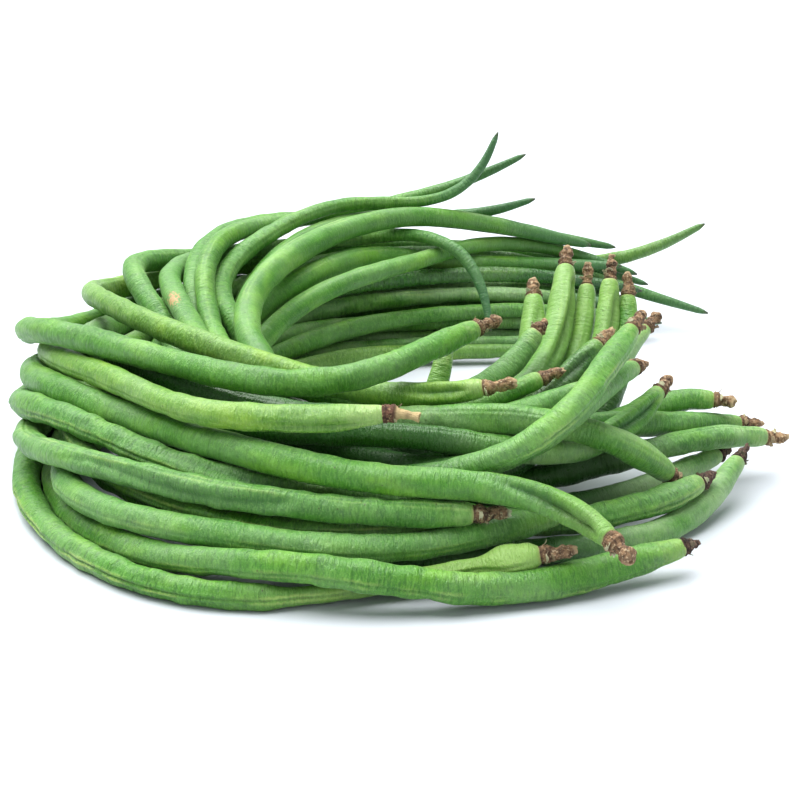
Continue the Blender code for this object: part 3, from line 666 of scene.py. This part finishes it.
stalkShape = {                                    # lengths in mm, reaches as shares of the stalk
    "rings": 56, "sides": 26, "overlap": 0.9,     # overlap: how deep its root sits in the pod
    "endCorners": 6, "bend": 0.5, "outlineSteps": 200, "outlineBlur": 6, "thinnest": 0.4,
    "knobs": (0.5, 230, 1.7, 4), "knobReach": (0.05, 0.2), "bark": (0.2, 200, 0.8, 9),
    "grit": (0.1, 260, 0.4, 17), "calmReach": (0.25, 0.4),
    "collarRings": 0.12, "collarWaves": 7.0, "collarDrift": (1.0, 280, 3.0, 4),
    "collarReach": (0.2, 0.36), "ragged": (0.45, 300, 50.0, 9), "raggedReach": (0.86, 1.0),
    "pale": 0.7, "paleReach": (0.86, 0.97), "sleeve": 0.75, "sleeveMarks": (0.2, 320, 1.5, 5),
    "sleeveReach": (0.3, 0.4), "dark": 0.6, "darkRoot": (0.8, 0.5), "darkCollar": (0.33, 0.05),
    "rim": 0.66, "pit": 0.45, "pitDepth": 0.8, "pitDark": 0.55, "flakeDraws": 900,
}

# the dry scraps round a stalk's collar, each size drawn between the two numbers of its spread
flakeShape = {
    "length": 1.5, "lengths": (0.6, 1.3), "width": 1.0, "widths": (0.7, 1.4), "thickness": 0.12,
    "steps": 7, "sides": 8, "curls": (0.3, 1.5), "lean": 0.35, "narrowest": 0.04,
    "wave": 0.25, "waves": 9, "waveShift": 5, "shade": 0.3, "pales": (0.3, 1.0),
    "places": (0.08, 0.42), "sunk": 0.2, "paleEvery": 3, "palest": 1.0, "usual": 0.2,
}

stalkBrowns = {
    "brown": {"dark": (64, 46, 34), "body": (144, 114, 84),
              "pale": (202, 180, 146), "tip": (190, 162, 126)},
    "tan": {"dark": (92, 70, 50), "body": (164, 134, 98),
            "pale": (208, 190, 156), "tip": (200, 176, 138)},
    "dark": {"dark": (34, 26, 22), "body": (88, 66, 54),
             "pale": (146, 122, 102), "tip": (106, 82, 68)},
    "cream": {"dark": (52, 34, 26), "body": (110, 76, 58),
              "pale": (186, 160, 118), "tip": (198, 176, 128)},
    "greenTip": {"dark": (60, 44, 34), "body": (140, 112, 84),
                 "pale": (196, 186, 148), "tip": (206, 214, 176)},
}

barkMarks = {
    "noises": {
        "tone": {"scale": 0.6, "detail": 3.0, "rough": 0.6},
        "scuffs": {"scale": 1.3, "detail": 3.0, "rough": 0.6},
        "lines": {"stretch": (1.5, 1.5, 0.4), "scale": 1.6},
    },
    "levels": {"tone": (0.36, 0.6), "scuffs": (0.54, 0.68), "lines": (0.46, 0.34)},
    "shares": {"scuffs": 0.75, "lines": 0.7},
    "apart": (5.3, 11.9, 3.7), "scrap": (196, 196, 160), "scuffHeight": 0.8,
    "roughness": 0.8, "reliefDepth": 0.35 * mm, "plain": {"Specular IOR Level": 0.3},
}

# each stalk's kind, colours and number of dry scraps round its collar
stalks = {
    1: {"kind": "knobbly", "colour": "brown", "flakes": 3},
    2: {"kind": "knobbly", "colour": "tan", "flakes": 3},
    3: {"kind": "tube", "colour": "cream", "flakes": 2},
    4: {"kind": "torn", "colour": "brown", "flakes": 4},
    5: {"kind": "knobbly", "colour": "brown", "flakes": 3},
    6: {"kind": "ball", "colour": "brown", "flakes": 7},
    7: {"kind": "stub", "colour": "dark", "flakes": 2},
    8: {"kind": "torn", "colour": "greenTip", "flakes": 3},
    9: {"kind": "stub", "colour": "dark", "flakes": 2},
    10: {"kind": "torn", "colour": "tan", "flakes": 3},
    11: {"kind": "torn", "colour": "brown", "flakes": 7},
    12: {"kind": "stub", "colour": "dark", "flakes": 2},
    13: {"kind": "knobbly", "colour": "brown", "flakes": 4},
    14: {"kind": "stub", "colour": "dark", "flakes": 3},
    15: {"kind": "stub", "colour": "dark", "flakes": 2},
    16: {"kind": "torn", "colour": "tan", "flakes": 3},
    17: {"kind": "torn", "colour": "brown", "flakes": 3},
    18: {"kind": "knobbly", "colour": "tan", "flakes": 3},
    19: {"kind": "torn", "colour": "brown", "flakes": 3},
    20: {"kind": "knobbly", "colour": "tan", "flakes": 3},
    21: {"kind": "torn", "colour": "brown", "flakes": 3},
    22: {"kind": "stub", "colour": "brown", "flakes": 3},
    23: {"kind": "torn", "colour": "tan", "flakes": 4},
    24: {"kind": "knobbly", "colour": "brown", "flakes": 3},
    25: {"kind": "tall", "colour": "brown", "flakes": 4},
    26: {"kind": "torn", "colour": "tan", "flakes": 4},
    27: {"kind": "tall", "colour": "tan", "flakes": 3},
    28: {"kind": "tall", "colour": "brown", "flakes": 5},
    29: {"kind": "knobbly", "colour": "tan", "flakes": 3},
    30: {"kind": "torn", "colour": "tan", "flakes": 3},
}


def stalkBark(name, browns, number):
    noises, levels, shares = barkMarks["noises"], barkMarks["levels"], barkMarks["shares"]
    browns = painted(browns)
    bark = Nodes(name)
    place = [number * step for step in barkMarks["apart"]]
    place = bark.vector(bark.attribute("podPlace"), place, "ADD")
    marks = bark.split(bark.attribute("stalkMarks"))
    tone, scuffs, lines = (bark.noise(place, **noises[mark])
                           for mark in ("tone", "scuffs", "lines"))
    colour = bark.blend(bark.between(tone, levels["tone"]), browns["dark"], browns["body"])
    mark = bark.between(scuffs, levels["scuffs"], 0.0, shares["scuffs"])
    colour = bark.blend(mark, colour, browns["pale"])
    mark = bark.between(lines, levels["lines"], 0.0, shares["lines"])
    colour = bark.blend(mark, colour, browns["dark"])
    colour = bark.blend(marks[0], colour, browns["tip"])
    colour = bark.blend(marks[1], colour, browns["dark"])
    colour = bark.blend(marks[2], colour, paint(*barkMarks["scrap"]))
    height = bark.maths(lines, bark.times(scuffs, barkMarks["scuffHeight"]))
    return bark.finish(colour, barkMarks["roughness"], height, barkMarks["reliefDepth"],
                       barkMarks["plain"])


def flakeSkin(base, outward, along, draw, pale):  # one dry scrap: a flat, curled, tapering strip
    length = flakeShape["length"] * draw.uniform(*flakeShape["lengths"])
    width = flakeShape["width"] * draw.uniform(*flakeShape["widths"])
    curl = draw.uniform(*flakeShape["curls"])
    across = np.cross(outward, along)
    t = np.linspace(0, 1, flakeShape["steps"])
    lean = flakeShape["lean"] + curl * t
    steps = along[None, :] * np.cos(lean)[:, None] + outward[None, :] * np.sin(lean)[:, None]
    line = base + np.cumsum(steps, axis=0) * (length / len(t) * mm)
    facing = outward[None, :] * np.cos(lean)[:, None] - along[None, :] * np.sin(lean)[:, None]
    turn = np.linspace(0, fullTurn, flakeShape["sides"], endpoint=False)
    wide = width * np.sqrt(np.clip(1 - t ** 2, flakeShape["narrowest"], 1))
    wave = np.sin(flakeShape["waves"] * t + curl * flakeShape["waveShift"])
    wide = wide * (1 + flakeShape["wave"] * wave)
    thick = np.sin(turn)[None, :, None] * facing[:, None, :] * flakeShape["thickness"] * mm
    ring = np.cos(turn)[None, :, None] * across * (wide * mm)[:, None, None] + thick
    grid = line[:, None, :] + ring
    shade = np.zeros(grid.shape)
    shade[:, :, 0] = flakeShape["shade"] * draw.uniform(0, 1)
    shade[:, :, 2] = pale * draw.uniform(*flakeShape["pales"])
    return grid, {"podPlace": grid / mm, "stalkMarks": shade}


def stalkLine(node, kind, joint):  # the stalk's middle line, bending out of the pod's stem end
    places = weldedPlaces(node)[0]
    away = ((places - joint["end"]) ** 2).sum(axis=1)
    brokenEnd = places[np.argsort(away)[-stalkShape["endCorners"]:]].mean(axis=0)
    start = joint["end"] - joint["out"] * stalkShape["overlap"] * mm
    brokenEnd = start + (brokenEnd - start) * kind["shown"] + np.array(kind["droop"])
    reach = np.sqrt(((brokenEnd - start) ** 2).sum())
    bendPoint = start + joint["out"] * reach * stalkShape["bend"]
    t = np.linspace(0, 1, stalkShape["rings"])[:, None]
    return (1 - t) ** 2 * start + 2 * t * (1 - t) * bendPoint + t ** 2 * brokenEnd


def stalkRadius(number, kind, s, a, share, thickness):
    shares, outline = np.array(kind["outline"]).T
    even, blur = np.linspace(0, 1, stalkShape["outlineSteps"]), stalkShape["outlineBlur"]
    window = 2 * blur + 1
    fine = np.pad(np.interp(even, shares, outline), blur, mode="edge")
    fine = np.convolve(fine, np.ones(window) / window, mode="valid")
    r = np.interp(share, even, fine) * thickness / podShape["radius"]
    rough = kind["rough"]
    calm = rough + (1 - rough) * (1 - rise(*stalkShape["calmReach"], share))
    knobs = bumps(stalkShape["knobs"], number, s, a)
    r = r + knobs * calm * rise(*stalkShape["knobReach"], share)
    for layer in ("bark", "grit"):
        r = r + bumps(stalkShape[layer], number, s, a) * calm
    drift = bumps(stalkShape["collarDrift"], number, s, a)
    waves = stalkShape["collarRings"] * np.cos(s * stalkShape["collarWaves"] + drift)
    r = r + waves * (1 - rise(*stalkShape["collarReach"], share))
    return np.maximum(r, stalkShape["thinnest"])


def makeStalk(number, look, joint):
    node = "stalk_%02d" % number
    kind = {**stalkDefaults, **stalkKinds[look["kind"]]}
    draw = np.random.RandomState(number + stalkShape["flakeDraws"])
    line = stalkLine(node, kind, joint)
    tangent, up, side = carriedFrames(line)
    steps = np.sqrt(((line[1:] - line[:-1]) ** 2).sum(axis=1)) / mm
    distance = np.concatenate([[0.0], np.cumsum(steps)])

    angle = np.linspace(0, fullTurn, stalkShape["sides"], endpoint=False)
    s, a = np.meshgrid(distance, angle, indexing="ij")
    share = s / distance[-1]
    r = stalkRadius(number, kind, s, a, share, joint["thickness"])
    ragged = bumps(stalkShape["ragged"], number, s, a) * rise(*stalkShape["raggedReach"], share)
    offset = np.cos(a)[:, :, None] * up[:, None, :] + np.sin(a)[:, :, None] * side[:, None, :]
    grid = line[:, None, :] + offset * (r * mm)[:, :, None]
    grid = grid + tangent[:, None, :] * (ragged * mm)[:, :, None]

    pale = rise(*stalkShape["paleReach"], share) * stalkShape["pale"] * kind["paleEnd"]
    if kind["sleeve"]:
        sleeve = stalkShape["sleeve"] + bumps(stalkShape["sleeveMarks"], number, s, a)
        pale = np.maximum(pale, rise(*stalkShape["sleeveReach"], share) * sleeve)
    rootPlace, rootWidth = stalkShape["darkRoot"]
    collarPlace, collarWidth = stalkShape["darkCollar"]
    dark = np.maximum(hill(s - rootPlace, rootWidth), hill(share - collarPlace, collarWidth))
    marks = np.stack([pale, dark * stalkShape["dark"], 0 * s], axis=-1)
    place = np.stack([r * np.cos(a), r * np.sin(a), s], axis=-1)

    rim, pit = stalkShape["rim"], stalkShape["pit"]   # the broken end: a rim, then a pit
    middle = grid[-1].mean(axis=0)
    rimRing = middle + (grid[-1] - middle) * rim
    pitRing = middle + (grid[-1] - middle) * pit - tangent[-1] * stalkShape["pitDepth"] * mm
    grid = np.concatenate([grid, rimRing[None], pitRing[None]])
    place = np.concatenate([place, place[-1:] * (rim, rim, 1), place[-1:] * (pit, pit, 1)])
    pitMark = np.zeros_like(marks[-1:])
    pitMark[:, :, 1] = stalkShape["pitDark"]
    marks = np.concatenate([marks, marks[-1:], pitMark])
    skins = [(grid, {"podPlace": place, "stalkMarks": marks})]
    for flake in range(look["flakes"]):
        ring = int(stalkShape["rings"] * draw.uniform(*flakeShape["places"]))
        column = draw.randint(stalkShape["sides"])
        outward = offset[ring, column]
        base = line[ring] + outward * (r[ring, column] - flakeShape["sunk"]) * mm
        pale = flakeShape["usual"] if flake % flakeShape["paleEvery"] else flakeShape["palest"]
        skins.append(flakeSkin(base, outward, tangent[ring], draw, pale))
    for skin in skins:
        keepAboveFloor(skin[0])
    material = stalkBark("bark_%02d" % number, stalkBrowns[look["colour"]], number)
    putInPlace(skinMesh("bean_" + node, skins, material), node)


for number, look in pods.items():
    joint = makePod(number, {**podDefaults, **look})
    makeStalk(number, stalks[number], joint)
print("pods and stalks made:", len(pods))


studio = {
    "floorSize": 30.0, "floorColour": (0.6, 0.635, 0.68, 1.0), "floorRoughness": 0.6,
    "floorShine": 0.2,
    "skyStrength": 0.4, "skyColour": (0.93, 0.97, 1.0, 1.0),
    "keyStrength": 6.9, "keySpread": 75.0, "keyPlace": (-0.3, 0.44, 1.27),
    "fillPower": 3.6, "fillSize": 1.2, "fillPlace": (0.7, -1.4, 0.9),
    "cameraBack": 0.51425, "cameraHeight": 0.277, "cameraAcross": 0.00195,
    "cameraTilt": 22.0, "cameraLens": 92.61, "cameraSensor": 36.0,
}


def makeFloor():
    half = studio["floorSize"] / 2
    corners = [(-half, -half, 0), (half, -half, 0), (half, half, 0), (-half, half, 0)]
    mesh = bpy.data.meshes.new("table_top")
    mesh.from_pydata(corners, [], [(0, 1, 2, 3)])
    floor = bpy.data.objects.new("table_top", mesh)
    bpy.context.scene.collection.objects.link(floor)
    white = bpy.data.materials.new("white_table")
    white.use_nodes = True
    shader = white.node_tree.nodes["Principled BSDF"]
    shader.inputs["Base Color"].default_value = studio["floorColour"]
    shader.inputs["Roughness"].default_value = studio["floorRoughness"]
    shader.inputs["Specular IOR Level"].default_value = studio["floorShine"]
    mesh.materials.append(white)


def makeLight(name, kind, power, size, place):  # size: a sun's spread in radians, a panel's width
    lamp = bpy.data.lights.new(name, kind)
    lamp.energy = power
    if kind == "SUN":
        lamp.angle = size
    else:
        lamp.size = size
    light = bpy.data.objects.new(name, lamp)
    light.location = place
    light.rotation_euler = (-Vector(place)).to_track_quat("-Z", "Y").to_euler()
    bpy.context.scene.collection.objects.link(light)


def makeSky():
    sky = bpy.data.worlds.new("studio")
    sky.use_nodes = True
    background = sky.node_tree.nodes["Background"]
    background.inputs["Color"].default_value = studio["skyColour"]
    background.inputs["Strength"].default_value = studio["skyStrength"]
    bpy.context.scene.world = sky


def makeCamera():
    lens = bpy.data.cameras.new("camera")
    lens.lens = studio["cameraLens"]
    lens.sensor_width = studio["cameraSensor"]
    camera = bpy.data.objects.new("camera", lens)
    back = lowCorner.y - studio["cameraBack"]
    camera.location = (studio["cameraAcross"], back, studio["cameraHeight"])
    camera.rotation_euler = (math.radians(90 - studio["cameraTilt"]), 0, 0)
    bpy.context.scene.collection.objects.link(camera)
    bpy.context.scene.camera = camera


makeFloor()
makeSky()
keySpread = math.radians(studio["keySpread"])
makeLight("key_light", "SUN", studio["keyStrength"], keySpread, studio["keyPlace"])
makeLight("fill_light", "AREA", studio["fillPower"], studio["fillSize"], studio["fillPlace"])
makeCamera()
bpy.context.scene.view_settings.view_transform = "Standard"
print("table, lights and camera placed")
